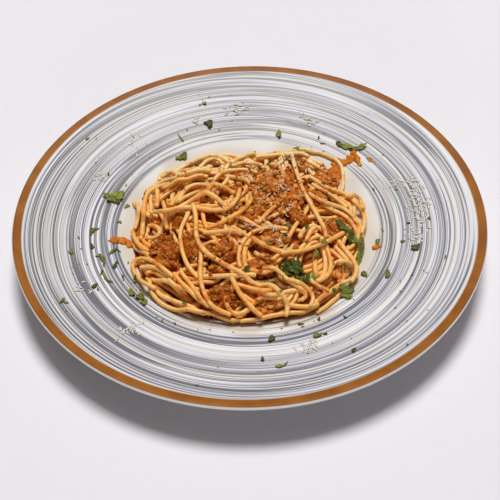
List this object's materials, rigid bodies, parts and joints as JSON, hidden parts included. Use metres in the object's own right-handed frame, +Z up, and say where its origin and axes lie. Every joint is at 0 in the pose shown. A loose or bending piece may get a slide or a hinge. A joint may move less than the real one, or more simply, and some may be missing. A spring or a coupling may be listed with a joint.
{
  "type": "spaghetti bolognese on a plate",
  "caption": "Low mound of spaghetti with meat sauce, parsley and grated cheese, served in the well of a wide round plate with a hand-brushed striped rim.",
  "frame": {"origin": "on the surface the plate stands on, under the middle of the plate", "axes": "+Z up; -Y towards the diner, the side the picture is taken from; +X to the right seen from there"},
  "size_m": [0.27, 0.27, 0.0361],
  "materials": {
    "glazed_plate": "gloss",
    "pasta": "satin",
    "meat_sauce": "satin",
    "parsley": "matte",
    "sauce": "gloss"
  },
  "bodies": {
    "root": {"plate": "glazed_plate", "pasta": "pasta", "ragu_back": "meat_sauce", "ragu_left": "meat_sauce", "ragu_left_inner": "meat_sauce", "ragu_middle": "meat_sauce", "ragu_front": "meat_sauce", "ragu_centre": "meat_sauce", "ragu_centre_front": "meat_sauce", "ragu_right": "meat_sauce", "ragu_right_back": "meat_sauce", "parsley_centre": "parsley", "parsley_right": "parsley", "parsley_right_edge": "parsley", "parsley_left_rim": "parsley", "parsley_back_rim": "parsley", "parsley_front_right": "parsley", "parsley_front_left": "parsley", "parsley_back_left": "parsley", "sauce_dab_left": "sauce", "sauce_dab_right": "sauce", "sauce_dab_back": "sauce"}
  },
  "joints": []
}
